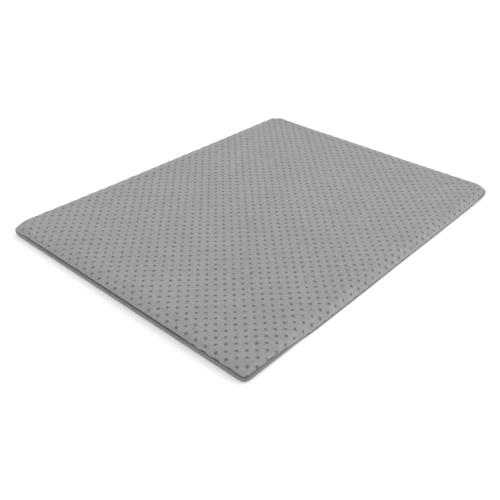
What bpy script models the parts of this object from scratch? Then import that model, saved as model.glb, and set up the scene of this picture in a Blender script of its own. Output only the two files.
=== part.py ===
"""Kneeling pad: a foam slab in a sewn fabric cover with a concealed zip along one short side.

Metres, +Z up. The origin is under the middle of the pad, on the surface that it lies on. X runs
along the pad's length, Y across it, and the zip is in the side at -X.
"""

import math

import bmesh
import bpy
from mathutils import Matrix, Vector

# Driving dimensions
PAD_LENGTH = 0.400
PAD_WIDTH = 0.305
PAD_HEIGHT = 0.013
CORNER_REACH = 0.0145
CORNER_POWER = 4.6
SEAM_HEIGHT = 0.0075
FABRIC = 0.0009
GAP = 0.0003
WELD_DISTANCE = 1e-6
FLAT_ANGLE = 0.001

# Cover: how far each panel rounds over, sideways and in height, and its turned-in seam allowance.
# In plan each corner is a superellipse: a power of 2 is a circle, and a higher one is squarer.
TOP_ROUND = (0.0085, 0.0041)
BOTTOM_ROUND = (0.005, 0.0050)
ALLOWANCE = 0.003
CORNER_STEPS = 8
TOP_STEPS = 6
BOTTOM_STEPS = 3

# Foam
FOAM_INSET = 0.004
FOAM_ZIP_INSET = 0.0074
FOAM_TOP_ROUND = (0.0060, 0.0036)
FOAM_BOTTOM_ROUND = (0.0015, 0.0015)

# Zip: the slit runs from SLIT_FRONT to SLIT_BACK along Y, and the closed slider is at its front end
SLIT_FRONT = -0.096
SLIT_BACK = 0.130
SLIT_HEIGHT = 0.0024
TACK_LENGTH = 0.0016
TACK_HEIGHT = 0.0018
TACK_DEPTH = 0.0015
TAPE_THICKNESS = 0.0004
TAPE_RISE = 0.0034
TAPE_FOLD = 0.0021
COIL_THICKNESS = 0.0012
COIL_HALF_WIDTH = 0.0017
COIL_OVERLAP = 0.0006
TOOTH_PITCH = 0.0030
TOOTH_WIDTH = TOOTH_PITCH / 2 - GAP
STOP_LENGTH = 0.0016
STOP_HEIGHT = 0.0005
BACK_STOP_HALF_WIDTH = 0.0023

# Slider
SLIDER_LENGTH = 0.0080
SLIDER_HALF_WIDTH = 0.0027
SLIDER_PLATE = 0.0007
SLIDER_RIM = 0.0006
WEDGE_LENGTH = 0.0024
WEDGE_HALF_WIDTH = 0.0008
CROWN_LENGTH = 0.0052
CROWN_WIDTH = 0.0012
CROWN_WALL = 0.0004
CROWN_SHOULDER = 0.0006
CROWN_STEPS = 3
SPRING_THICKNESS = 0.00025
LOCK_TIP = (0.0010, 0.0014)
LOCK_REACH = 0.00015

# Places worked out from those, as distances in from the pad's -X side
WALL_X = -PAD_LENGTH / 2
OUTER_PLATE = 0.0022
CHANNEL = OUTER_PLATE + SLIDER_PLATE
COIL = CHANNEL + GAP
TAPE = COIL + COIL_THICKNESS + GAP
INNER_PLATE = TAPE + TAPE_THICKNESS + GAP
SLIDER_BACK = INNER_PLATE + SLIDER_PLATE
CROWN_TOP = 0.0004
SLIDER_REST_Y = SLIT_FRONT + TACK_LENGTH + SLIDER_LENGTH / 2 + 2 * GAP

COLLECTION = "kneeling_pad"
CUTTERS = "kneeling_pad_cutters"


def clear_scene():
    for item in list(bpy.data.objects):
        bpy.data.objects.remove(item, do_unlink=True)


def add_collection(name):
    collection = bpy.data.collections.new(name)
    bpy.context.scene.collection.children.link(collection)
    return collection


def add_material(name, colour, roughness, metallic=0.0):
    material = bpy.data.materials.new(name)
    material.use_nodes = True
    shader = material.node_tree.nodes["Principled BSDF"]
    shader.inputs["Base Color"].default_value = (*colour, 1.0)
    shader.inputs["Roughness"].default_value = roughness
    shader.inputs["Metallic"].default_value = metallic
    return material


def add_object(name, mesh_data, material=None, collection=COLLECTION):
    item = bpy.data.objects.new(name, mesh_data)
    bpy.data.collections[collection].objects.link(item)
    if material:
        mesh_data.materials.append(material)
    return item


def mesh_from(name, bm):
    bmesh.ops.recalc_face_normals(bm, faces=bm.faces)
    mesh = bpy.data.meshes.new(name)
    bm.to_mesh(mesh)
    bm.free()
    return mesh


def add_box_to(bm, low, high):
    """A box between two corners, in the bmesh it is given. Returns its corners."""
    low, high = Vector(low), Vector(high)
    size = high - low
    place = Matrix.Translation((low + high) / 2) @ Matrix.Diagonal((*size, 1.0))
    return bmesh.ops.create_cube(bm, size=1.0, matrix=place)["verts"]


def add_box(name, low, high, material=None, collection=COLLECTION, parent=None):
    bm = bmesh.new()
    add_box_to(bm, low, high)
    item = add_object(name, mesh_from(name, bm), material, collection)
    item.parent = parent
    return item


def break_edges(item, width):
    edge = item.modifiers.new("edge", "BEVEL")
    edge.width = width
    edge.segments = 1


def add_cutter(name, low, high, parent=None):
    cutter = add_box(name, low, high, collection=CUTTERS, parent=parent)
    cutter.hide_render = True
    cutter.display_type = "WIRE"
    return cutter


def combine(item, operation, cutter):
    step = item.modifiers.new(cutter.name, "BOOLEAN")
    step.operation = operation
    step.object = cutter


def unite(name, pieces, material, parent=None):
    """One closed mesh from overlapping boxes, each given as its two corners."""
    body = add_box(name, *pieces[0], material, parent=parent)
    for number, (low, high) in enumerate(pieces[1:]):
        combine(body, "UNION", add_cutter(f"{name}_piece_{number}", low, high, parent))
    return body


def add_cut_plate(name, outline, thickness, material):
    """A flat plate of the given closed outline, which lies in the object's own XY plane."""
    flat = bpy.data.curves.new(name, "CURVE")
    flat.dimensions = "2D"
    flat.fill_mode = "BOTH"
    flat.extrude = thickness / 2
    line = flat.splines.new("POLY")
    line.points.add(len(outline) - 1)
    for point, (across, along) in zip(line.points, outline):
        point.co = (across, along, 0.0, 1.0)
    line.use_cyclic_u = True
    return add_object(name, flat, material)


def edges_at(bm, height):
    return [e for e in bm.edges if all(abs(v.co.z - height) < GAP / 10 for v in e.verts)]


def upright_edges(bm):
    return [e for e in bm.edges if abs(e.verts[0].co.z - e.verts[1].co.z) > GAP / 10]


def square_up_corners(bm, half_x, half_y, reach):
    """Turn corners that are circles in plan into superellipses of the same reach."""
    for vert in bm.verts:
        across = abs(vert.co.x) - (half_x - reach)
        along = abs(vert.co.y) - (half_y - reach)
        if across <= 0.0 or along <= 0.0:
            continue
        norm = (across**CORNER_POWER + along**CORNER_POWER) ** (1.0 / CORNER_POWER)
        grow = math.hypot(across, along) / norm
        vert.co.x = math.copysign(half_x - reach + across * grow, vert.co.x)
        vert.co.y = math.copysign(half_y - reach + along * grow, vert.co.y)


def rounded_slab(half_x, half_y, height, corner, rounding, steps):
    """A slab from z = 0 to height, with soft corners in plan and a quarter ellipse for its top edge.

    rounding is the quarter ellipse's width and drop. The slab is bevelled while it is stretched in
    height, so that a round bevel becomes the ellipse when it is squeezed back.
    """
    across, drop = rounding
    stretch = across / drop
    bm = bmesh.new()
    add_box_to(bm, (-half_x, -half_y, 0.0), (half_x, half_y, height * stretch))
    bmesh.ops.bevel(
        bm, geom=upright_edges(bm), offset=corner, segments=CORNER_STEPS, profile=0.5, affect="EDGES"
    )
    bmesh.ops.bevel(
        bm,
        geom=edges_at(bm, height * stretch),
        offset=across,
        segments=steps,
        profile=0.5,
        affect="EDGES",
    )
    bmesh.ops.scale(bm, vec=(1.0, 1.0, 1.0 / stretch), verts=bm.verts)
    square_up_corners(bm, half_x, half_y, corner)
    return bm


def cover_panel(name, seam_z, face_z, rounding, steps, material):
    """Half of the cover: an open tray of fabric with its seam allowance turned in along the seam."""
    bm = rounded_slab(
        PAD_LENGTH / 2, PAD_WIDTH / 2, abs(face_z - seam_z), CORNER_REACH, rounding, steps
    )
    mouth = min(bm.faces, key=lambda face: face.calc_center_median().z)
    bmesh.ops.inset_region(bm, faces=[mouth], thickness=ALLOWANCE, use_even_offset=True)
    bmesh.ops.delete(bm, geom=[mouth], context="FACES")
    if face_z < seam_z:
        bmesh.ops.scale(bm, vec=(1.0, 1.0, -1.0), verts=bm.verts)
        bmesh.ops.reverse_faces(bm, faces=bm.faces)
    bmesh.ops.translate(bm, vec=(0.0, 0.0, seam_z), verts=bm.verts)
    mesh = bpy.data.meshes.new(name)
    bm.to_mesh(mesh)
    bm.free()
    panel = add_object(name, mesh, material)
    thick = panel.modifiers.new("fabric", "SOLIDIFY")
    thick.thickness = FABRIC
    thick.offset = -1.0
    thick.use_even_offset = True
    mesh.shade_smooth()
    return panel


def cut_slit(panels):
    """Open the seam between the two panels where the zip is."""
    slit = add_cutter(
        "slit_cutter",
        (WALL_X - FABRIC, SLIT_FRONT, SEAM_HEIGHT - SLIT_HEIGHT / 2),
        (WALL_X + ALLOWANCE + 2 * GAP, SLIT_BACK, SEAM_HEIGHT + SLIT_HEIGHT / 2),
    )
    for panel in panels:
        combine(panel, "DIFFERENCE", slit)


def make_cover(top_fabric, bottom_fabric):
    top = cover_panel(
        "top_panel", SEAM_HEIGHT + GAP / 2, PAD_HEIGHT, TOP_ROUND, TOP_STEPS, top_fabric
    )
    bottom = cover_panel(
        "bottom_panel", SEAM_HEIGHT - GAP / 2, 0.0, BOTTOM_ROUND, BOTTOM_STEPS, bottom_fabric
    )
    cut_slit([top, bottom])


def make_foam(material):
    """The foam slab. It stands back from the zip side, to leave the zip its room."""
    low = FABRIC + GAP
    height = PAD_HEIGHT - FABRIC - GAP - low
    half_x = (PAD_LENGTH - FOAM_INSET - FOAM_ZIP_INSET) / 2
    half_y = PAD_WIDTH / 2 - FOAM_INSET
    corner = CORNER_REACH - FOAM_INSET
    bm = rounded_slab(half_x, half_y, height, corner, FOAM_TOP_ROUND, TOP_STEPS)
    bmesh.ops.bevel(
        bm,
        geom=edges_at(bm, 0.0),
        offset=FOAM_BOTTOM_ROUND[0],
        segments=BOTTOM_STEPS,
        profile=0.5,
        affect="EDGES",
    )
    foam = add_object("foam_core", mesh_from("foam_core", bm), material)
    foam.location = ((FOAM_ZIP_INSET - FOAM_INSET) / 2, 0.0, low)
    foam.data.shade_smooth()


def make_tapes(material):
    """Two woven tapes, one above the slit and one below it, where it folds under along the base."""
    front = SLIT_FRONT + GAP
    back = SLIT_BACK - GAP
    near = WALL_X + TAPE
    far = near + TAPE_THICKNESS
    edge = WEDGE_HALF_WIDTH + GAP
    add_box(
        "zip_tape_upper",
        (near, front, SEAM_HEIGHT + edge),
        (far, back, SEAM_HEIGHT + TAPE_RISE),
        material,
    )
    floor = FABRIC + GAP
    unite(
        "zip_tape_lower",
        [
            ((near, front, floor), (far, back, SEAM_HEIGHT - edge)),
            ((near, front, floor), (near + TAPE_FOLD, back, floor + TAPE_THICKNESS)),
        ],
        material,
    )


def tooth_starts(front, back, phase):
    """Where each tooth of a coil begins along the zip."""
    count = int((back - front - phase - TOOTH_WIDTH) / TOOTH_PITCH) + 1
    return [front + phase + number * TOOTH_PITCH for number in range(count)]


def coil_outline(front, back, side, phase):
    """The comb outline of one coil in the YZ plane: a straight back, and teeth across the middle."""
    root = side * (COIL_OVERLAP + GAP)
    tip = -side * COIL_OVERLAP
    points = [] if phase == 0.0 else [(front, root)]
    for start in tooth_starts(front, back, phase):
        end = start + TOOTH_WIDTH
        points += [(start, root), (start, tip), (end, tip), (end, root)]
    points += [(back, root), (back, side * COIL_HALF_WIDTH), (front, side * COIL_HALF_WIDTH)]
    return points


def divide_across(plate, places, material):
    """A mesh of the plate, with its faces divided at each place along it, so that none is a long sliver."""
    shape = plate.evaluated_get(bpy.context.evaluated_depsgraph_get())
    mesh = bpy.data.meshes.new_from_object(shape)
    name = plate.name
    bpy.data.objects.remove(plate)
    bm = bmesh.new()
    bm.from_mesh(mesh)
    bpy.data.meshes.remove(mesh)
    bmesh.ops.remove_doubles(bm, verts=bm.verts, dist=WELD_DISTANCE)
    bmesh.ops.dissolve_limit(bm, angle_limit=FLAT_ANGLE, verts=bm.verts, edges=bm.edges)
    for place in places:
        bmesh.ops.bisect_plane(
            bm,
            geom=bm.verts[:] + bm.edges[:] + bm.faces[:],
            dist=WELD_DISTANCE,
            plane_co=(place, 0.0, 0.0),
            plane_no=(1.0, 0.0, 0.0),
        )
    return add_object(name, mesh_from(name, bm), material)


def make_coil(name, side, phase, material):
    """A coil as a comb whose teeth stand between the other coil's. Each is two turns of the coil."""
    front = SLIDER_REST_Y - SLIDER_LENGTH / 2 + WEDGE_LENGTH + 2 * GAP
    back = SLIT_BACK - TACK_LENGTH - STOP_LENGTH - 2 * GAP
    plate = add_cut_plate(name, coil_outline(front, back, side, phase), COIL_THICKNESS, material)
    starts = tooth_starts(front, back, phase)
    coil = divide_across(plate, starts + [start + TOOTH_WIDTH for start in starts], material)
    stand = Matrix(((0.0, 0.0, 1.0), (1.0, 0.0, 0.0), (0.0, 1.0, 0.0))).to_4x4()
    coil.matrix_world = (
        Matrix.Translation((WALL_X + COIL + COIL_THICKNESS / 2, 0.0, SEAM_HEIGHT)) @ stand
    )


def make_stops(material):
    """Two stops beside the closed slider's wedge, and one across both coils at the far end."""
    near = WALL_X + COIL
    far = near + COIL_THICKNESS
    front = SLIDER_REST_Y - SLIDER_LENGTH / 2 + 2 * GAP
    inner = WEDGE_HALF_WIDTH + GAP
    for name, side in (("zip_stop_front_upper", 1), ("zip_stop_front_lower", -1)):
        heights = sorted(SEAM_HEIGHT + side * h for h in (inner, inner + STOP_HEIGHT))
        add_box(
            name, (near, front, heights[0]), (far, front + STOP_LENGTH, heights[1]), material
        )
    back = SLIT_BACK - TACK_LENGTH - GAP
    back_stop = add_box(
        "zip_stop_back",
        (near, back - STOP_LENGTH, SEAM_HEIGHT - BACK_STOP_HALF_WIDTH),
        (far, back, SEAM_HEIGHT + BACK_STOP_HALF_WIDTH),
        material,
    )
    break_edges(back_stop, GAP)


def make_bar_tacks(material):
    """A block of close stitches in each end of the slit."""
    near = WALL_X + GAP / 3
    length = TACK_LENGTH - GAP
    for name, start in (
        ("bar_tack_front", SLIT_FRONT + GAP),
        ("bar_tack_back", SLIT_BACK - GAP - length),
    ):
        tack = add_box(
            name,
            (near, start, SEAM_HEIGHT - TACK_HEIGHT / 2),
            (near + TACK_DEPTH, start + length, SEAM_HEIGHT + TACK_HEIGHT / 2),
            material,
        )
        break_edges(tack, GAP)


def make_slider_body(centre, material):
    """Two plates with side rims, joined at the front by the wedge that parts the coils."""
    half = SLIDER_LENGTH / 2
    wide = SLIDER_HALF_WIDTH
    rim_top = TAPE - GAP
    lap = SLIDER_PLATE / 2
    body = unite(
        "slider_body",
        [
            ((OUTER_PLATE, -half, -wide), (CHANNEL, half, wide)),
            ((INNER_PLATE, -half, -wide), (SLIDER_BACK, half, wide)),
            ((CHANNEL - lap, -half, wide - SLIDER_RIM), (rim_top, half, wide)),
            ((CHANNEL - lap, -half, -wide), (rim_top, half, SLIDER_RIM - wide)),
            (
                (CHANNEL - lap, -half, -WEDGE_HALF_WIDTH),
                (INNER_PLATE + lap, WEDGE_LENGTH - half, WEDGE_HALF_WIDTH),
            ),
        ],
        material,
        centre,
    )
    window = add_cutter(
        "lock_window",
        (OUTER_PLATE - GAP, LOCK_TIP[0] - GAP, -CROWN_WIDTH / 4 - GAP),
        (CHANNEL + GAP, LOCK_TIP[1] + GAP, CROWN_WIDTH / 4 + GAP),
        centre,
    )
    combine(body, "DIFFERENCE", window)


def crown_outline():
    """An arch seen along the slit: two feet on the slider's plate, and a roof with round shoulders."""
    reach = CROWN_LENGTH / 2
    foot = OUTER_PLATE - GAP
    roof = CROWN_TOP + CROWN_WALL
    points = [(foot, -reach)]
    for side, turns in ((-1, range(CROWN_STEPS + 1)), (1, range(CROWN_STEPS, -1, -1))):
        for turn in turns:
            angle = math.pi / 2 * turn / CROWN_STEPS
            across = CROWN_TOP + CROWN_SHOULDER * (1.0 - math.sin(angle))
            along = reach - CROWN_SHOULDER * (1.0 - math.cos(angle))
            points.append((across, side * along))
    points += [(foot, reach), (foot, reach - CROWN_WALL)]
    points += [(roof, reach - CROWN_WALL), (roof, CROWN_WALL - reach), (foot, CROWN_WALL - reach)]
    return points


def make_slider_crown(centre, material):
    """A bridge along the slider, narrow enough to run in the slit between the two panels."""
    crown = add_cut_plate("slider_crown", crown_outline(), CROWN_WIDTH, material)
    crown.parent = centre


def make_lock_spring(centre, material):
    """A leaf under the crown, with a tip that reaches through the outer plate to the coils."""
    near = CROWN_TOP + CROWN_WALL + GAP
    far = near + SPRING_THICKNESS
    reach = CROWN_LENGTH / 2 - CROWN_WALL - GAP
    thick = CROWN_WIDTH / 4
    unite(
        "slider_lock_spring",
        [
            ((near, -reach, -thick), (far, reach, thick)),
            ((near, LOCK_TIP[0], -thick), (CHANNEL + LOCK_REACH, LOCK_TIP[1], thick)),
        ],
        material,
        centre,
    )


def make_slider(metal, spring_steel):
    """The slider, built about its own centre on the slit's line, which its pieces are parented to."""
    centre = bpy.data.objects.new("slider_centre", None)
    bpy.data.collections[COLLECTION].objects.link(centre)
    centre.location = (WALL_X, SLIDER_REST_Y, SEAM_HEIGHT)
    make_slider_body(centre, metal)
    make_slider_crown(centre, metal)
    make_lock_spring(centre, spring_steel)


def build():
    clear_scene()
    add_collection(COLLECTION)
    add_collection(CUTTERS)
    top_fabric = add_material("top_fabric", (0.33, 0.33, 0.33), 0.9)
    bottom_fabric = add_material("bottom_fabric", (0.22, 0.22, 0.22), 0.9)
    foam = add_material("foam", (0.72, 0.70, 0.62), 0.95)
    tape = add_material("tape", (0.10, 0.10, 0.10), 0.85)
    nylon = add_material("nylon", (0.12, 0.12, 0.12), 0.4)
    thread = add_material("thread", (0.15, 0.15, 0.15), 0.8)
    metal = add_material("slider_metal", (0.18, 0.18, 0.18), 0.4, 0.3)
    spring_steel = add_material("spring_steel", (0.55, 0.55, 0.56), 0.35, 1.0)
    make_cover(top_fabric, bottom_fabric)
    make_foam(foam)
    make_tapes(tape)
    make_coil("zip_coil_upper", 1, 0.0, nylon)
    make_coil("zip_coil_lower", -1, TOOTH_PITCH / 2, nylon)
    make_stops(nylon)
    make_bar_tacks(thread)
    make_slider(metal, spring_steel)


build()
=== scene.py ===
"""Looks of the kneeling pad: a dotted fabric cover over foam, with a concealed zip in its -X side.

Metres, in the CAD's own frame: X along the pad, Y across it, Z up from the surface that it lies on.
"""

import math

import bmesh
import bpy
import numpy as np
from mathutils import Matrix, Vector, noise


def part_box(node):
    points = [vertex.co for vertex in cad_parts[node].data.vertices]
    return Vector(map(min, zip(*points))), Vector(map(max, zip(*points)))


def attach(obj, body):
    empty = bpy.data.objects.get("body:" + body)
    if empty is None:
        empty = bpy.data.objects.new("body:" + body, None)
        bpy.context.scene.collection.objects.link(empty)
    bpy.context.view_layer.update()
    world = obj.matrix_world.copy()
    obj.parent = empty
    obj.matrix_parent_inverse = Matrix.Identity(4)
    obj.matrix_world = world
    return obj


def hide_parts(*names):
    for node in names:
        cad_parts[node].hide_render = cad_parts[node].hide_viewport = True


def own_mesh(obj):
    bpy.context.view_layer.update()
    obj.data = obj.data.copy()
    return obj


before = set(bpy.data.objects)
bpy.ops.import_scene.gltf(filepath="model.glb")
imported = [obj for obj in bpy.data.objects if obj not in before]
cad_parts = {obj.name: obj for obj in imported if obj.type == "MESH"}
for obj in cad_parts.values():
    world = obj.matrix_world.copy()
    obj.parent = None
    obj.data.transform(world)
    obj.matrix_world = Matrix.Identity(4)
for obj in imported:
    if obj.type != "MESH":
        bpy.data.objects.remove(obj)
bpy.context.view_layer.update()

# Sizes that the CAD settles
TOP_LOW, TOP_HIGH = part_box("top_panel")
BASE_LOW, BASE_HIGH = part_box("bottom_panel")
HALF = np.array((TOP_HIGH.x, TOP_HIGH.y))
TOP = TOP_HIGH.z
SEAM = (TOP_LOW.z + BASE_HIGH.z) / 2
SLIT_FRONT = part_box("bar_tack_front")[0].y
SLIT_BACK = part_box("bar_tack_back")[1].y

# Cover: the width and shape of the fold over its edge, which ends in a small turned-in roll, the lip
CORNER = 0.0145
CORNER_POWER = 4.6
INNER = HALF - CORNER
TOP_FOLD = 0.0085
FRONT_FOLD = 0.0070
CORNER_FOLD = 0.0138
TOP_FOLD_POWER = 1.12
CORNER_FOLD_POWER = 1.55
CORNER_DIP = 0.0018
BASE_FOLD = 0.0028
BASE_FOLD_POWER = 1.0
FOLD_TURNS = np.linspace(0.0, math.pi / 2, 49)
LIP = 0.0007
LIP_RINGS = 4
WALL = 0.0003
ALLOWANCE = 0.0011
ALLOWANCE_RINGS = 3
SPARE_CLOTH = 0.00035

# Seam: where it gapes at the zip's slit, and how it dips along the front side and sways
SEAM_GAP = 0.00015
SLIT_GAP = 0.00075
SLIT_EASE = 0.003
SLIT_CALM = 0.0014
TUCK_GAP = 0.00035
TUCK_PLACE = 0.020
TUCK_WIDTH = 0.020
ZIP_SIDE_POWER = 8
FRONT_DIP = 0.0056
DIP_STARTS = (-0.178, -0.112)
DIP_ENDS = (0.1855, 0.165)
DIP_RELIEF = 0.0008
DIP_RELIEF_SPAN = (0.07, 0.13)
SWAY_HEIGHTS = (0.00025, 0.0002)
SWAY_LENGTHS = (0.031, 0.023)
SWAY_START = 0.7

# Dots: rows stand half a pitch apart, and alternate rows are offset by half a pitch
DOT_PITCH = np.array((0.01102, 0.01072))
DOT_PHASE = np.array((0.0007, -0.00312))
DOT_RADIUS = 0.0015
DOT_EDGE = 0.0004
DOT_DEPTH = 0.00016
CELL_STEPS = 3
BASE_CELL = 0.004

# Relief of the cloth: a hollow middle, a ridge inside the edge, waves, and puckers down to the seam
HOLLOW = 0.0008
RIDGE = 0.0003
RIDGE_PLACE = 0.006
RIDGE_WIDTH = 0.010
WAVES = ((0.00022, 0.055, 1), (0.00010, 0.020, 2))
WAVE_CALM = 0.7
PUCKER = 0.00024
PUCKER_SPAN = (0.005, 0.015)
PUCKER_END = 0.019
PUCKER_LENGTHS = (0.0022, 0.00175)
PUCKER_DRIFT = 1.3
PUCKER_DRIFT_LENGTHS = (0.017, 0.013)
PUCKER_BY_ZIP = 0.4
PUCKER_BY_TUCK = 0.7
PUCKER_PLACE = 0.012
PUCKER_WIDTH = 0.020
BASE_LIFT = 0.00035
BASE_LIFT_SPAN = 0.045

# Foam slab: the corner and the fold (width, drop) of its top, the round foot, its cells and dents
FOAM_CORNER = 0.0105
FOAM_FOLD = (0.0060, 0.0036)
FOAM_FOOT = 0.0015
FOAM_CELL = 0.004
FOAM_DENT = 0.00012
FOAM_DENT_SPAN = 0.012
FOAM_PORE = 0.0012

# Simulated cloth: its cell, its spare length as a share, and the most that it may move. The cloth
# and the foam each hold things SIM_REACH away, the least that Blender takes. That is more than the
# fabric's thickness, so the foam is SIM_ROOM lower while the cloth settles on it.
SIM_CELL = 0.005
SIM_FRAMES = 24
SIM_SLACK = 0.0006
SIM_LIMIT = 0.0006
SIM_REACH = 0.001
SIM_ROOM = 0.0012

# Zip and tacks: filament and thread radii, the coil's pitch and its steps to a turn
COIL_WIRE = 0.0002
COIL_PITCH = 0.0015
COIL_STEPS = 12
THREAD = 0.00014

# Looks: a fabric's broad and small patches, each as a size and its darkest shade, and the scale at
# which a wave texture has one band to a unit
BROAD_PATCH = (0.035, 0.93)
SMALL_PATCH = (0.010, 0.7)
BAND_PER_UNIT = math.pi / 10

# How far apart the places lie that noise is taken from, for one seed and the next
NOISE_STEPS = (7.31, 3.17, 5.77)

# Camera: in front of the near corner, tipped down. The directions are its own right and ahead.
CAMERA_LENS = 46.6
CAMERA_PLACE = (-0.4524, -0.3756, 0.3209 + TOP)
CAMERA_RIGHT = (0.66565, -0.74610, 0.01579)
CAMERA_AHEAD = (0.63296, 0.55325, -0.54156)

# The stage is a round white sweep, lit from within so that the pad's shadow on it stays faint
SWEEP_FLAT = 2.2
SWEEP_BEND = 1.2
SWEEP_WALL = 2.6
FLOOR_SHADE = 0.66
FLOOR_GRAIN = 0.4
FLOOR_GLOW = 0.42
WORLD_LIGHT = 0.20


def smooth_step(low, high, values):
    """0 up to low and 1 from high on, with a smooth rise between. It falls if low is the greater."""
    part = np.clip((values - low) / (high - low), 0.0, 1.0)
    return part * part * (3.0 - 2.0 * part)


def bell(centre, width, values):
    """1 at the centre, falling smoothly to just over a third at one width away."""
    return np.exp(-(((values - centre) / width) ** 2))


def noise_at(points, scale, seed):
    """Smooth noise from -1 to 1 at each point, with features about one scale across."""
    shift = Vector([seed * step for step in NOISE_STEPS])
    return np.array([noise.noise(Vector(p) / scale + shift) for p in points])


# ---------------------------------------------------------------- the cover's shape


def edge_frame(flat):
    """For points of the flat cloth: the nearest point of the inner rectangle, the way out, how far.

    Distances are those of a superellipse, which makes the corners squarer than circles.
    """
    inner = np.clip(flat, -INNER, INNER)
    away = flat - inner
    distance = np.sum(np.abs(away) ** CORNER_POWER, axis=1) ** (1.0 / CORNER_POWER)
    out = away / np.maximum(distance, 1e-9)[:, None]
    return inner, out, distance


def outward(out):
    """The direction that a superellipse corner faces, in plan, where a ray along out meets it."""
    facing = np.sign(out) * np.abs(out) ** (CORNER_POWER - 1.0)
    return facing / np.maximum(np.linalg.norm(facing, axis=1), 1e-9)[:, None]


def cornerness(out):
    """0 along the sides and 1 on each corner's diagonal."""
    shorter, longer = np.sort(np.abs(out), axis=1).T
    return smooth_step(0.0, 1.0, shorter / np.maximum(longer, 1e-9))


def seam_height(inner, out):
    """How high the seam runs. Along the front side it dips, where the dotted cloth bulges over it."""
    along = inner[:, 0]
    dip = smooth_step(*DIP_STARTS, along) * smooth_step(*DIP_ENDS, along)
    front = SEAM - FRONT_DIP * dip + DIP_RELIEF * smooth_step(*DIP_RELIEF_SPAN, along) * dip
    sway = SWAY_HEIGHTS[0] * np.sin(along / SWAY_LENGTHS[0] + SWAY_START)
    sway = sway + SWAY_HEIGHTS[1] * np.sin(inner[:, 1] / SWAY_LENGTHS[1])
    facing_front = np.clip(-out[:, 1], 0.0, 1.0) ** 2
    height = SEAM + (front - SEAM) * facing_front - CORNER_DIP * cornerness(out)
    return height + sway * (1.0 - np.clip(-out[:, 0], 0.0, 1.0))


def zip_side(out):
    """1 on the zip's side, which faces -X, and falling fast as a corner turns."""
    return np.clip(-out[:, 0], 0.0, 1.0) ** ZIP_SIDE_POWER


def slit_opening(inner, out):
    """1 along the zip's slit and 0 where the seam is sewn."""
    across = inner[:, 1]
    front = smooth_step(SLIT_FRONT, SLIT_FRONT + SLIT_EASE, across)
    back = smooth_step(SLIT_BACK, SLIT_BACK - SLIT_EASE, across)
    return front * back * zip_side(out)


def seam_gap(inner, out):
    """Half the gap between the two panels' lips: closed where it is sewn, open along the zip."""
    tuck = TUCK_GAP * bell(SLIT_FRONT - TUCK_PLACE, TUCK_WIDTH, inner[:, 1]) * zip_side(out)
    return SEAM_GAP + (SLIT_GAP - SEAM_GAP) * slit_opening(inner, out) + tuck


def fold_sizes(inner, out, side):
    """The fold's width and drop, then the straight wall under it, for the top panel (1) or the base (-1)."""
    height, gap = seam_height(inner, out), seam_gap(inner, out)
    if side > 0:
        boxy = np.clip(-out[:, 1], 0.0, 1.0) ** 2
        width = TOP_FOLD + (FRONT_FOLD - TOP_FOLD) * boxy
        width = width + (CORNER_FOLD - width) * cornerness(out)
        drop = TOP - (height + gap) - LIP - WALL
        return width, drop, np.full_like(drop, WALL)
    room = height - gap - LIP
    drop = np.minimum(BASE_FOLD, room - WALL)
    return np.full_like(drop, BASE_FOLD), drop, room - drop


def fold_arcs(width, drop, power):
    """Cloth length along each fold, at each of FOLD_TURNS. A power over 1 is flatter than an ellipse."""
    across = width[:, None] * np.sin(FOLD_TURNS) ** power[:, None]
    down = drop[:, None] * (1.0 - np.abs(np.cos(FOLD_TURNS)) ** power[:, None])
    pieces = np.hypot(np.diff(across, axis=1), np.diff(down, axis=1))
    return np.concatenate((np.zeros((len(drop), 1)), np.cumsum(pieces, axis=1)), axis=1)


def fold_power(out, side):
    """The fold's profile. At a corner the top panel slopes almost straight down to the seam."""
    if side > 0:
        return TOP_FOLD_POWER + (CORNER_FOLD_POWER - TOP_FOLD_POWER) * cornerness(out)
    return np.full(len(out), BASE_FOLD_POWER)


def cut_length(inner, out, side):
    """Cloth length from the inner rectangle to the foot of the wall, where the lip begins."""
    width, drop, wall = fold_sizes(inner, out, side)
    return CORNER - width + fold_arcs(width, drop, fold_power(out, side))[:, -1] + wall


def place(flat, side):
    """Points and outward directions of the cover where the flat cloth lies, before any relief."""
    inner, out, length = edge_frame(flat)
    width, drop, wall = fold_sizes(inner, out, side)
    power = fold_power(out, side)
    arcs = fold_arcs(width, drop, power)
    run = CORNER - width
    past = length - run
    turn = np.array([np.interp(p, a, FOLD_TURNS) for p, a in zip(past, arcs)])
    after = np.maximum(past - arcs[:, -1], 0.0)
    roll = np.clip((after - wall) / LIP, 0.0, math.pi / 2)
    inward = np.maximum(after - wall - LIP * math.pi / 2, 0.0)
    reach = np.minimum(length, run) + width * np.sin(turn) ** power
    reach -= LIP * (1.0 - np.cos(roll)) + inward
    depth = drop * (1.0 - np.cos(turn) ** power) + np.minimum(after, wall) + LIP * np.sin(roll)
    slope = drop / width * np.tan(np.minimum(turn, math.pi / 2 - 1e-6)) ** (2.0 - power)
    across, up = slope / np.hypot(slope, 1.0), 1.0 / np.hypot(slope, 1.0)
    rolled = after > wall
    across = np.where(rolled, np.cos(roll), across)
    up = np.where(rolled, -np.sin(roll), up)
    level = TOP - depth if side > 0 else depth
    points = np.column_stack((inner + out * reach[:, None], level))
    facing = np.column_stack((outward(out) * across[:, None], up * side))
    return points, facing


# ---------------------------------------------------------------- the flat cloth


def dot_distance(flat):
    """How far each point of the flat cloth is from the middle of its nearest dot."""
    half = DOT_PITCH / 2
    steps = (flat - DOT_PHASE) / half
    best = np.full(len(flat), np.inf)
    near = np.floor(steps)
    for shift in ((0, 0), (1, 0), (0, 1), (1, 1)):
        place_at = near + shift
        even = (place_at.sum(axis=1) % 2) == 0
        far = np.linalg.norm((steps - place_at) * half, axis=1)
        best = np.where(even, np.minimum(best, far), best)
    return best


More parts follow.
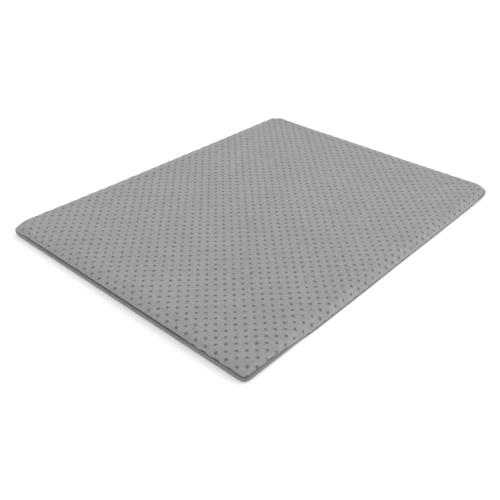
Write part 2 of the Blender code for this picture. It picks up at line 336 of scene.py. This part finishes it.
def dotted_cloth(half_size):
    """Flat cloth of diamond cells, each with a ring of points round its dot, so dots are geometry."""
    across, along = DOT_PITCH / 2
    reach = np.ceil(half_size / (DOT_PITCH / 2)).astype(int) + 1
    rings = (DOT_RADIUS + DOT_EDGE, DOT_RADIUS, DOT_RADIUS - DOT_EDGE)
    around = 4 * CELL_STEPS
    edge_steps = [(k, 0) for k in range(CELL_STEPS)]
    edge_steps += [(CELL_STEPS, k) for k in range(CELL_STEPS)]
    edge_steps += [(CELL_STEPS - k, CELL_STEPS) for k in range(CELL_STEPS)]
    edge_steps += [(0, CELL_STEPS - k) for k in range(CELL_STEPS)]
    points, faces, shared = [], [], {}

    def cell_corner(key):
        if key not in shared:
            shared[key] = len(points)
            first, second = key[0] / (2 * CELL_STEPS), key[1] / (2 * CELL_STEPS)
            points.append((across * (first + second), along * (first - second)))
        return shared[key]

    for i in range(-reach[0], reach[0] + 1):
        for j in range(-reach[1], reach[1] + 1):
            centre = np.array((i * across, j * along))
            if (i + j) % 2 or np.any(np.abs(centre + DOT_PHASE) > half_size + DOT_PITCH / 2):
                continue
            first, second = (i + j) // 2, (i - j) // 2
            low = (CELL_STEPS * (2 * first - 1), CELL_STEPS * (2 * second - 1))
            outer = [cell_corner((low[0] + 2 * u, low[1] + 2 * v)) for u, v in edge_steps]
            for radius in rings:
                start = len(points)
                for angle in outer_angles(outer, points, centre):
                    points.append(
                        (centre[0] + radius * math.cos(angle), centre[1] + radius * math.sin(angle))
                    )
                inner = list(range(start, start + around))
                for k in range(around):
                    after = (k + 1) % around
                    faces.append((outer[k], outer[after], inner[after], inner[k]))
                outer = inner
            hub = len(points)
            points.append(tuple(centre))
            faces += [(outer[k], outer[(k + 1) % around], hub) for k in range(around)]
    return np.array(points) + DOT_PHASE, faces


def outer_angles(outer, points, centre):
    """The way from a cell's centre to each of its outer points."""
    return [math.atan2(points[k][1] - centre[1], points[k][0] - centre[0]) for k in outer]


def grid_cloth(half_size, counts):
    """Flat cloth of square cells, with counts points each way."""
    xs = np.linspace(-half_size[0], half_size[0], counts[0])
    ys = np.linspace(-half_size[1], half_size[1], counts[1])
    points = np.array([(x, y) for x in xs for y in ys])
    row = len(ys)
    faces = [
        (i * row + j, (i + 1) * row + j, (i + 1) * row + j + 1, i * row + j + 1)
        for i in range(len(xs) - 1)
        for j in range(len(ys) - 1)
    ]
    return points, faces


def plain_cloth(half_size):
    """Flat cloth of square cells, for the panel that has no dots."""
    return grid_cloth(half_size, np.ceil(2 * half_size / BASE_CELL).astype(int) + 1)


def cut_to_seam(points, faces, side):
    """Trim the flat cloth to the seam line, then add rings of cloth for its lip and allowance."""
    inner, out, length = edge_frame(points)
    beyond = length - cut_length(inner, out, side)
    mesh = bpy.data.meshes.new("flat_cloth")
    mesh.from_pydata(np.column_stack((points, beyond)).tolist(), [], faces)
    bm = bmesh.new()
    bm.from_mesh(mesh)
    bpy.data.meshes.remove(mesh)
    bmesh.ops.bisect_plane(
        bm,
        geom=bm.verts[:] + bm.edges[:] + bm.faces[:],
        dist=1e-6,
        plane_co=(0.0, 0.0, 0.0),
        plane_no=(0.0, 0.0, 1.0),
        clear_outer=True,
    )
    bmesh.ops.dissolve_degenerate(bm, dist=1e-5, edges=bm.edges)
    steps = [LIP * math.pi / 2 / LIP_RINGS] * LIP_RINGS
    steps += [ALLOWANCE / ALLOWANCE_RINGS] * ALLOWANCE_RINGS
    rim = [e for e in bm.edges if e.is_boundary]
    for step in steps:
        grown = bmesh.ops.extrude_edge_only(bm, edges=rim)["geom"]
        ring = [v for v in grown if isinstance(v, bmesh.types.BMVert)]
        rim = [e for e in grown if isinstance(e, bmesh.types.BMEdge)]
        flat = np.array([v.co.xy for v in ring])
        inner, out, length = edge_frame(flat)
        moved = inner + out * (length + step)[:, None]
        for vert, (x, y) in zip(ring, moved):
            vert.co.x, vert.co.y = x, y
    return bm


# ---------------------------------------------------------------- relief and covers


def hollow_at(flat):
    """How far the pad's upper side sinks at each point, from its edges to its middle."""
    share = np.clip(1.0 - (flat / INNER) ** 2, 0.0, 1.0)
    return HOLLOW * np.sqrt(share[:, 0] * share[:, 1])


def scallops(places, axis):
    """Puckers along one axis of the pad, from -1 to 1, whose spacing drifts."""
    along = places[:, axis]
    drift = PUCKER_DRIFT * np.sin(along / PUCKER_DRIFT_LENGTHS[axis])
    return np.sin(along / PUCKER_LENGTHS[axis] + drift)


def top_relief(flat):
    """How far the dotted cloth stands off its smooth shape. Along the slit's lip it doesn't."""
    inner, out, length = edge_frame(flat)
    inset = np.maximum(np.min(INNER - np.abs(flat), axis=1), 0.0)
    hollow = -hollow_at(flat)
    ridge = RIDGE * bell(RIDGE_PLACE, RIDGE_WIDTH, inset) * (length <= 0.0)
    points = np.column_stack((flat, np.zeros(len(flat))))
    waves = sum(height * noise_at(points, span, seed) for height, span, seed in WAVES)
    lap = smooth_step(*PUCKER_SPAN, length)
    by_tuck = PUCKER_BY_TUCK * bell(SLIT_FRONT - PUCKER_PLACE, PUCKER_WIDTH, inner[:, 1])
    by_zip = 1.0 + np.clip(-out[:, 0], 0.0, 1.0) * (PUCKER_BY_ZIP + by_tuck)
    scallop = scallops(inner, 0) * out[:, 1] ** 2 + scallops(inner, 1) * out[:, 0] ** 2
    puckers = PUCKER * by_zip * scallop * lap * (length < PUCKER_END)
    dots = -DOT_DEPTH * (1.0 - smooth_step(DOT_RADIUS - DOT_EDGE, DOT_RADIUS, dot_distance(flat)))
    near_lip = smooth_step(-SLIT_CALM, 0.0, length - cut_length(inner, out, 1))
    still = 1.0 - near_lip * slit_opening(inner, out)
    return (hollow + ridge + waves * (1.0 - WAVE_CALM * lap) + puckers + dots) * still


def base_relief(flat):
    """The base rests on the ground, so its cloth only lifts off it a little here and there."""
    points = np.column_stack((flat, np.zeros(len(flat))))
    length = edge_frame(flat)[2]
    return -np.abs(noise_at(points, BASE_LIFT_SPAN, 5)) * BASE_LIFT * (length <= CORNER - BASE_FOLD)


def simulated_shift(foam):
    """Settle the dotted cloth on the foam, held at its seam. Returns its grid's ends and its shift."""
    half_size = INNER + cut_reach(1)
    counts = np.ceil(2 * half_size / SIM_CELL).astype(int) + 1
    flat, faces = grid_cloth(half_size, counts)
    start = place(flat, 1)[0]
    start[:, 2] -= hollow_at(flat)
    mesh = bpy.data.meshes.new("settling")
    mesh.from_pydata(start.tolist(), [], faces)
    cloth = bpy.data.objects.new("settling", mesh)
    bpy.context.scene.collection.objects.link(cloth)
    inner, out, length = edge_frame(flat)
    held = length > cut_length(inner, out, 1) - SIM_CELL / 2
    pins = cloth.vertex_groups.new(name="seam")
    pins.add(np.flatnonzero(held).tolist(), 1.0, "REPLACE")
    bump = foam.modifiers.new("rest", "COLLISION")
    foam.collision.thickness_outer = SIM_REACH
    foam.location.z -= SIM_ROOM
    fall = cloth.modifiers.new("fall", "CLOTH")
    fall.settings.vertex_group_mass = "seam"
    fall.settings.quality = 6
    fall.settings.mass = 0.0002
    fall.settings.tension_stiffness = 8.0
    fall.settings.compression_stiffness = 8.0
    fall.settings.bending_stiffness = 0.02
    fall.settings.shrink_min = -SIM_SLACK
    fall.collision_settings.distance_min = SIM_REACH
    fall.point_cache.frame_end = SIM_FRAMES
    scene = bpy.context.scene
    for number in range(1, SIM_FRAMES + 1):
        scene.frame_set(number)
    settled = cloth.evaluated_get(bpy.context.evaluated_depsgraph_get()).to_mesh()
    ended = np.empty(len(flat) * 3)
    settled.vertices.foreach_get("co", ended)
    shift = ended.reshape(-1, 3) - start
    shift[held] = 0.0
    size = np.linalg.norm(shift, axis=1)
    shift *= np.minimum(1.0, SIM_LIMIT / np.maximum(size, 1e-9))[:, None]
    scene.frame_set(1)
    foam.modifiers.remove(bump)
    foam.location.z += SIM_ROOM
    bpy.data.objects.remove(cloth, do_unlink=True)
    return half_size, shift.reshape(counts[0], counts[1], 3)


def shift_at(flat, half_size, shift):
    """The simulated shift at any points of the flat cloth, blended between its grid's corners."""
    cells = np.array(shift.shape[:2]) - 1
    where = np.clip((flat + half_size) / (2 * half_size) * cells, 0, cells - 1e-6)
    low = where.astype(int)
    part = smooth_step(0.0, 1.0, where - low)
    found = np.zeros((len(flat), 3))
    for x in (0, 1):
        for y in (0, 1):
            share = np.abs(1 - x - part[:, 0]) * np.abs(1 - y - part[:, 1])
            found += shift[low[:, 0] + x, low[:, 1] + y] * share[:, None]
    return found


def make_cover(name, cloth, side, relief, materials, settled=None):
    """One panel of the cover, from its flat cloth. Faces inside a dot take the second material."""
    half_size = INNER + cut_reach(side)
    bm = cut_to_seam(*cloth(half_size), side)
    bm.verts.ensure_lookup_table()
    flat = np.array([v.co.xy for v in bm.verts])
    points, facing = place(flat, side)
    points += facing * relief(flat)[:, None]
    if settled:
        points += shift_at(flat, *settled)
    if len(materials) > 1:
        middles = np.array([f.calc_center_median().xy for f in bm.faces])
        for face, far in zip(bm.faces, dot_distance(middles)):
            face.material_index = int(far < DOT_RADIUS)
    for vert, point in zip(bm.verts, points):
        vert.co = point
    if side < 0:
        bmesh.ops.reverse_faces(bm, faces=bm.faces)
    for face in bm.faces:
        face.smooth = True
    return new_object(name, bm, materials)


def cut_reach(side):
    """The longest stretch of cloth from the inner rectangle to the lip, for the flat cloth's size."""
    angles = np.linspace(0.0, 2 * math.pi, 721)
    ways = np.column_stack((np.cos(angles), np.sin(angles)))
    out = edge_frame(INNER + np.abs(ways))[1] * np.sign(ways)
    longest = 0.0
    for along in np.linspace(-1.0, 1.0, 41):
        for inner in (np.full_like(out, along) * INNER, np.full_like(out, 1.0) * INNER * (along, -1)):
            longest = max(longest, cut_length(inner, out, side).max())
    return longest + SPARE_CLOTH


def new_object(name, bm, materials):
    mesh = bpy.data.meshes.new(name)
    bm.to_mesh(mesh)
    bm.free()
    item = bpy.data.objects.new(name, mesh)
    bpy.context.scene.collection.objects.link(item)
    for material in materials:
        mesh.materials.append(material)
    return item


# ---------------------------------------------------------------- materials


class Look:
    """A material's node tree, with short calls for the nodes that the fabrics share."""

    def __init__(self, name, roughness, metallic=0.0):
        self.material = bpy.data.materials.new(name)
        self.material.use_nodes = True
        self.tree = self.material.node_tree
        self.shader = self.tree.nodes["Principled BSDF"]
        self.shader.inputs["Roughness"].default_value = roughness
        self.shader.inputs["Metallic"].default_value = metallic
        self.place = self.add("ShaderNodeTexCoord").outputs["Object"]

    def add(self, kind, **settings):
        node = self.tree.nodes.new(kind)
        for name, value in settings.items():
            setattr(node, name, value)
        return node

    def join(self, source, target):
        self.tree.links.new(source, target)

    def noise(self, size, detail=2.0, stretch=(1.0, 1.0, 1.0)):
        """Noise with features about one size across, in metres."""
        turn = self.add("ShaderNodeMapping")
        turn.inputs["Scale"].default_value = [s / size for s in stretch]
        self.join(self.place, turn.inputs["Vector"])
        node = self.add("ShaderNodeTexNoise")
        node.inputs["Scale"].default_value = 1.0
        node.inputs["Detail"].default_value = detail
        self.join(turn.outputs["Vector"], node.inputs["Vector"])
        return node.outputs["Fac"]

    def threads(self, size, direction):
        """Parallel threads one size apart, across X, Y, Z or the diagonal."""
        turn = self.add("ShaderNodeMapping")
        turn.inputs["Scale"].default_value = [1.0 / size] * 3
        self.join(self.place, turn.inputs["Vector"])
        node = self.add("ShaderNodeTexWave", bands_direction=direction)
        node.inputs["Scale"].default_value = BAND_PER_UNIT
        node.inputs["Distortion"].default_value = 1.2
        node.inputs["Detail"].default_value = 1.0
        self.join(turn.outputs["Vector"], node.inputs["Vector"])
        return node.outputs["Fac"]

    def ramp(self, source, low, high, start=0.3, end=0.7):
        """The source turned into shades from low to high, each a colour or one grey."""
        node = self.add("ShaderNodeValToRGB")
        for element, place_at, shade in zip(node.color_ramp.elements, (start, end), (low, high)):
            element.position = place_at
            element.color = (*shade, 1.0) if isinstance(shade, tuple) else (shade,) * 3 + (1.0,)
        self.join(source, node.inputs["Fac"])
        return node.outputs["Color"]

    def mix(self, first, second, kind="MULTIPLY", share=1.0):
        node = self.add("ShaderNodeMix", data_type="RGBA", blend_type=kind)
        node.inputs["Factor"].default_value = share
        self.join(first, node.inputs["A"])
        self.join(second, node.inputs["B"])
        return node.outputs["Result"]

    def bump(self, heights):
        """Bumps on top of each other, from pairs of a height source and its depth in metres."""
        below = None
        for source, depth in heights:
            node = self.add("ShaderNodeBump")
            node.inputs["Distance"].default_value = depth
            self.join(source, node.inputs["Height"])
            if below:
                self.join(below, node.inputs["Normal"])
            below = node.outputs["Normal"]
        self.join(below, self.shader.inputs["Normal"])

    def colour(self, source):
        self.join(source, self.shader.inputs["Base Color"])


def fabric_look(name, shade, weave, nap_depth, patch=BROAD_PATCH):
    """Brushed woven fabric: fine crossed threads, a soft nap, and slow changes of shade."""
    look = Look(name, 0.92)
    look.shader.inputs["Sheen Weight"].default_value = 0.25
    look.shader.inputs["Sheen Roughness"].default_value = 0.6
    look.shader.inputs["Specular IOR Level"].default_value = 0.25
    dark, light = tuple(s * 0.86 for s in shade), tuple(s * 1.10 for s in shade)
    nap = look.noise(0.0011, 4.0)
    patch_size, patch_dark = patch
    patches = look.ramp(look.noise(patch_size, 3.0), patch_dark, 1.0)
    mottle = look.ramp(look.noise(0.0032, 2.0), 0.90, 1.0, 0.35, 0.65)
    grain = look.mix(look.ramp(nap, dark, light), mottle)
    weft, warp = look.threads(weave, "X"), look.threads(weave, "Y")
    cross = look.mix(look.ramp(weft, 0.86, 1.0, 0.0, 1.0), look.ramp(warp, 0.86, 1.0, 0.0, 1.0))
    look.colour(look.mix(look.mix(grain, patches), cross))
    look.bump(((nap, nap_depth), (weft, 0.00006), (warp, 0.00006)))
    return look.material


def foam_look():
    """Open-cell foam: pale cells round darker pores, whose darkness is painted shade."""
    look = Look("open_cell_foam", 0.95)
    cells = look.add("ShaderNodeTexVoronoi", feature="DISTANCE_TO_EDGE")
    scale = look.add("ShaderNodeMapping")
    scale.inputs["Scale"].default_value = [1 / FOAM_PORE] * 3
    cells.inputs["Scale"].default_value = 1.0
    look.join(look.place, scale.inputs["Vector"])
    look.join(scale.outputs["Vector"], cells.inputs["Vector"])
    pores = cells.outputs["Distance"]
    # Painted shade: the pores are darker than the pale foam around them
    walls_and_pore_shade = look.ramp(pores, (0.42, 0.40, 0.33), (0.74, 0.72, 0.63), 0.0, 0.25)
    look.colour(look.mix(walls_and_pore_shade, look.ramp(look.noise(0.03), 0.92, 1.0)))
    look.bump(((pores, 0.0003),))
    return look.material


def plain_look(name, shade, roughness, size, metallic=0.0, depth=0.00002):
    """Moulded or painted stuff: a faint grain in its shade, its gloss and its surface."""
    look = Look(name, roughness, metallic)
    grain = look.noise(size, 3.0)
    dark, light = tuple(s * 0.82 for s in shade), tuple(min(s * 1.15, 1.0) for s in shade)
    look.colour(look.ramp(grain, dark, light))
    gloss = look.add("ShaderNodeMapRange")
    gloss.inputs["To Min"].default_value = roughness - 0.08
    gloss.inputs["To Max"].default_value = min(roughness + 0.10, 1.0)
    look.join(grain, gloss.inputs["Value"])
    look.join(gloss.outputs["Result"], look.shader.inputs["Roughness"])
    look.bump(((grain, depth),))
    return look.material


# ---------------------------------------------------------------- foam and zip


def rim_of(inner_half, spacing):
    """Places round a rectangle with superellipse corners, as points of the rectangle and ways out."""
    quarter = np.linspace(0.0, math.pi / 2, 9)
    inner, out = [], []
    for turn, (x, y) in enumerate(((1, 1), (-1, 1), (-1, -1), (1, -1))):
        corner = inner_half * (x, y)
        for angle in quarter + turn * math.pi / 2:
            way = np.array((math.cos(angle), math.sin(angle)))
            inner.append(corner)
            out.append(way / np.sum(np.abs(way) ** CORNER_POWER) ** (1.0 / CORNER_POWER))
        following = inner_half * ((-x, y) if turn % 2 == 0 else (x, -y))
        count = int(np.linalg.norm(following - corner) / spacing)
        for step in range(1, count):
            inner.append(corner + (following - corner) * step / count)
            out.append(out[-1])
    return np.array(inner), np.array(out)


def make_foam(material):
    """The foam slab in closed rings from the middle of its top to the middle of its underside."""
    low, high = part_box("foam_core")
    middle = np.array(((low.x + high.x) / 2, (low.y + high.y) / 2))
    inner_half = np.array(((high.x - low.x) / 2, (high.y - low.y) / 2)) - FOAM_CORNER
    inner, out = rim_of(inner_half, FOAM_CELL)
    turns = np.linspace(0.0, math.pi / 2, 7)
    shares = np.linspace(0.06, 1.0, 16)
    rings = [(share, 0.0, high.z) for share in shares]
    rings += [
        (1.0, FOAM_CORNER - FOAM_FOLD[0] * (1 - math.sin(t)), high.z - FOAM_FOLD[1] * (1 - math.cos(t)))
        for t in turns
    ]
    rings += [
        (1.0, FOAM_CORNER - FOAM_FOOT * (1 - math.cos(t)), low.z + FOAM_FOOT * (1 - math.sin(t)))
        for t in turns
    ]
    rings += [(share, 0.0, low.z) for share in shares[::-1]]
    points = np.concatenate(
        [np.column_stack((inner * share + out * reach, np.full(len(inner), z)))
         for share, reach, z in rings]
    )
    upper = smooth_step(TOP / 3, TOP * 2 / 3, points[:, 2])
    points[:, 2] -= hollow_at(points[:, :2]) * upper
    points[:, 2] -= FOAM_DENT * (1.0 + noise_at(points, FOAM_DENT_SPAN, 9)) / 2 * upper
    points[:, :2] += middle
    bm = bmesh.new()
    verts = [bm.verts.new(p) for p in points]
    around = len(inner)
    for ring in range(len(rings) - 1):
        for k in range(around):
            a, b = ring * around + k, ring * around + (k + 1) % around
            bm.faces.new((verts[a], verts[a + around], verts[b + around], verts[b]))
    bm.faces.new(verts[:around])
    bm.faces.new(verts[-around:][::-1])
    bmesh.ops.recalc_face_normals(bm, faces=bm.faces)
    for face in bm.faces:
        face.smooth = True
    return new_object("foam_slab", bm, [material])


def tube(name, points, radius, material):
    """A round filament along these points."""
    curve = bpy.data.curves.new(name, "CURVE")
    curve.dimensions = "3D"
    curve.bevel_depth = radius
    curve.bevel_resolution = 2
    curve.use_fill_caps = True
    line = curve.splines.new("POLY")
    line.points.add(len(points) - 1)
    for point, place_at in zip(line.points, points):
        point.co = (*place_at, 1.0)
    curve.materials.append(material)
    item = bpy.data.objects.new(name, curve)
    bpy.context.scene.collection.objects.link(item)
    return item


def make_coil(name, node, side, material):
    """A nylon coil: one filament wound in flat turns, whose heads reach past the zip's middle."""
    low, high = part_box(node)
    turns = int((high.y - low.y - 2 * COIL_WIRE) / COIL_PITCH)
    centre = (low + high) / 2
    deep, tall = (high.x - low.x) / 2 - COIL_WIRE, (high.z - low.z) / 2 - COIL_WIRE
    shift = 0.0 if side > 0 else COIL_PITCH / 2
    points = []
    for step in range(turns * COIL_STEPS):
        angle = 2 * math.pi * step / COIL_STEPS
        along = low.y + COIL_WIRE + shift + COIL_PITCH * step / COIL_STEPS
        if along < high.y - COIL_WIRE:
            points.append((centre.x + deep * math.sin(angle), along, centre.z + tall * math.cos(angle)))
    return as_mesh(tube(name, points, COIL_WIRE, material))


def as_mesh(item):
    """The same piece as a mesh, in place of its curve."""
    name = item.name
    mesh = bpy.data.meshes.new_from_object(item.evaluated_get(bpy.context.evaluated_depsgraph_get()))
    bpy.data.objects.remove(item, do_unlink=True)
    solid = bpy.data.objects.new(name, mesh)
    bpy.context.scene.collection.objects.link(solid)
    return solid


def draw_back(coil):
    """Give the coil a mesh of its own.
    """
    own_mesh(coil)


def make_bar_tack(name, node, material):
    """Close zigzag stitches wrapped round the block that the CAD gives them."""
    low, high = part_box(node)
    passes = int((high.y - low.y) / (2 * THREAD))
    near, far = low.x + THREAD, high.x - THREAD
    bottom, top = low.z + THREAD, high.z - THREAD
    points = []
    for number in range(passes):
        along = low.y + THREAD + number * (high.y - low.y - 2 * THREAD) / (passes - 1)
        points += [(near, along, bottom), (near, along, top), (far, along, top), (far, along, bottom)]
    return tube(name, points, THREAD, material)


# ---------------------------------------------------------------- stage


def make_camera():
    """The view from in front of the pad's near corner, with its three directions made square."""
    camera = bpy.data.objects.new("camera", bpy.data.cameras.new("camera"))
    camera.data.lens = CAMERA_LENS
    ahead = Vector(CAMERA_AHEAD).normalized()
    up = Vector(CAMERA_RIGHT).cross(ahead).normalized()
    right = ahead.cross(up)
    turn = Matrix((right, up, -ahead)).transposed().to_4x4()
    camera.matrix_world = Matrix.Translation(CAMERA_PLACE) @ turn
    bpy.context.scene.collection.objects.link(camera)
    bpy.context.scene.camera = camera


def make_light(name, place_at, size, power):
    """A square light at place_at that faces the pad."""
    light = bpy.data.lights.new(name, "AREA")
    light.size = size
    light.energy = power
    item = bpy.data.objects.new(name, light)
    item.location = place_at
    item.rotation_euler = (-Vector(place_at)).to_track_quat("-Z", "Y").to_euler()
    bpy.context.scene.collection.objects.link(item)


def sweep_profile():
    """Radius and height along the sweep: a flat floor that curves up into a wall."""
    turns = np.linspace(0.0, math.pi / 2, 13)
    curve = [(SWEEP_FLAT + SWEEP_BEND * math.sin(t), SWEEP_BEND * (1.0 - math.cos(t))) for t in turns]
    return [(0.0, 0.0)] + curve + [(SWEEP_FLAT + SWEEP_BEND, SWEEP_WALL)]


def make_stage():
    """The white sweep, the world's light and two lights above."""
    bm = bmesh.new()
    line = [bm.verts.new((radius, 0.0, height)) for radius, height in sweep_profile()]
    edges = [bm.edges.new(pair) for pair in zip(line, line[1:])]
    bmesh.ops.spin(bm, geom=line + edges, axis=(0, 0, 1), cent=(0, 0, 0), steps=64, angle=2 * math.pi)
    bmesh.ops.remove_doubles(bm, verts=bm.verts, dist=1e-5)
    for face in bm.faces:
        face.smooth = True
    white = plain_look("floor", (FLOOR_SHADE,) * 3, 0.9, FLOOR_GRAIN)
    glow = white.node_tree.nodes["Principled BSDF"].inputs
    glow["Emission Color"].default_value = (1.0, 1.0, 1.0, 1.0)
    glow["Emission Strength"].default_value = FLOOR_GLOW
    floor = new_object("floor", bm, [white])
    world = bpy.data.worlds.new("studio")
    bpy.context.scene.world = world
    world.use_nodes = True
    background = world.node_tree.nodes["Background"].inputs
    background["Color"].default_value = (1.0, 1.0, 1.0, 1.0)
    background["Strength"].default_value = WORLD_LIGHT
    make_light("key", (1.4, -1.2, 3.0), 2.0, 47.0)
    make_light("overhead", (-0.2, 0.0, 3.2), 3.0, 35.0)


# ---------------------------------------------------------------- everything together


def dress_nodes(looks):
    """Give each CAD node that stays in view the look of its material slot."""
    for node, look in looks.items():
        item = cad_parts[node]
        for number in range(len(item.material_slots)):
            item.material_slots[number].link = "OBJECT"
            item.material_slots[number].material = look


def build():
    """Every material and piece, each piece on its body, then the camera and the stage."""
    top_fabric = fabric_look("dotted_fabric", (0.385, 0.385, 0.388), 0.0007, 0.00012)
    dot_fabric = fabric_look("dots", (0.215, 0.215, 0.215), 0.0007, 0.00008, SMALL_PATCH)
    # The base's cloth is darker than the top's: partly its own darker grey, partly painted shade for the
    # pad's sides, which get less light
    base_fabric_and_shade = fabric_look("base_fabric_and_shade", (0.215, 0.215, 0.217), 0.0006, 0.00008)
    nylon = plain_look("nylon", (0.05, 0.05, 0.05), 0.4, 0.0006)
    tape = fabric_look("tape", (0.06, 0.06, 0.06), 0.0005, 0.00004)
    thread = plain_look("thread", (0.06, 0.06, 0.06), 0.8, 0.0003)
    metal = plain_look("slider_paint", (0.07, 0.07, 0.07), 0.38, 0.0009, 0.6)
    spring = plain_look("spring_steel", (0.6, 0.6, 0.6), 0.32, 0.0007, 1.0)

    foam = make_foam(foam_look())
    settled = simulated_shift(foam)
    top = make_cover("top_cover", dotted_cloth, 1, top_relief, [top_fabric, dot_fabric], settled)
    base = make_cover("base_cover", plain_cloth, -1, base_relief, [base_fabric_and_shade])
    pieces = {
        "top_panel": (top, "top_fabric"),
        "bottom_panel": (base, "bottom_fabric"),
        "foam_core": (foam, "foam"),
        "zip_coil_upper": (make_coil("coil_upper", "zip_coil_upper", 1, nylon), "nylon"),
        "zip_coil_lower": (make_coil("coil_lower", "zip_coil_lower", -1, nylon), "nylon"),
        "bar_tack_front": (make_bar_tack("tack_front", "bar_tack_front", thread), "thread"),
        "bar_tack_back": (make_bar_tack("tack_back", "bar_tack_back", thread), "thread"),
    }
    for node, (piece, slot) in pieces.items():
        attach(piece, "pad")
        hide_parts(node)
    draw_back(pieces["zip_coil_upper"][0])
    draw_back(pieces["zip_coil_lower"][0])
    dress_nodes(
        {
            "zip_tape_upper": tape,
            "zip_tape_lower": tape,
            "zip_stop_front_upper": nylon,
            "zip_stop_front_lower": nylon,
            "zip_stop_back": nylon,
            "slider_body": metal,
            "slider_crown": metal,
            "slider_lock_spring": spring,
        }
    )
    make_camera()
    make_stage()


bpy.context.scene.view_settings.view_transform = "Standard"
build()
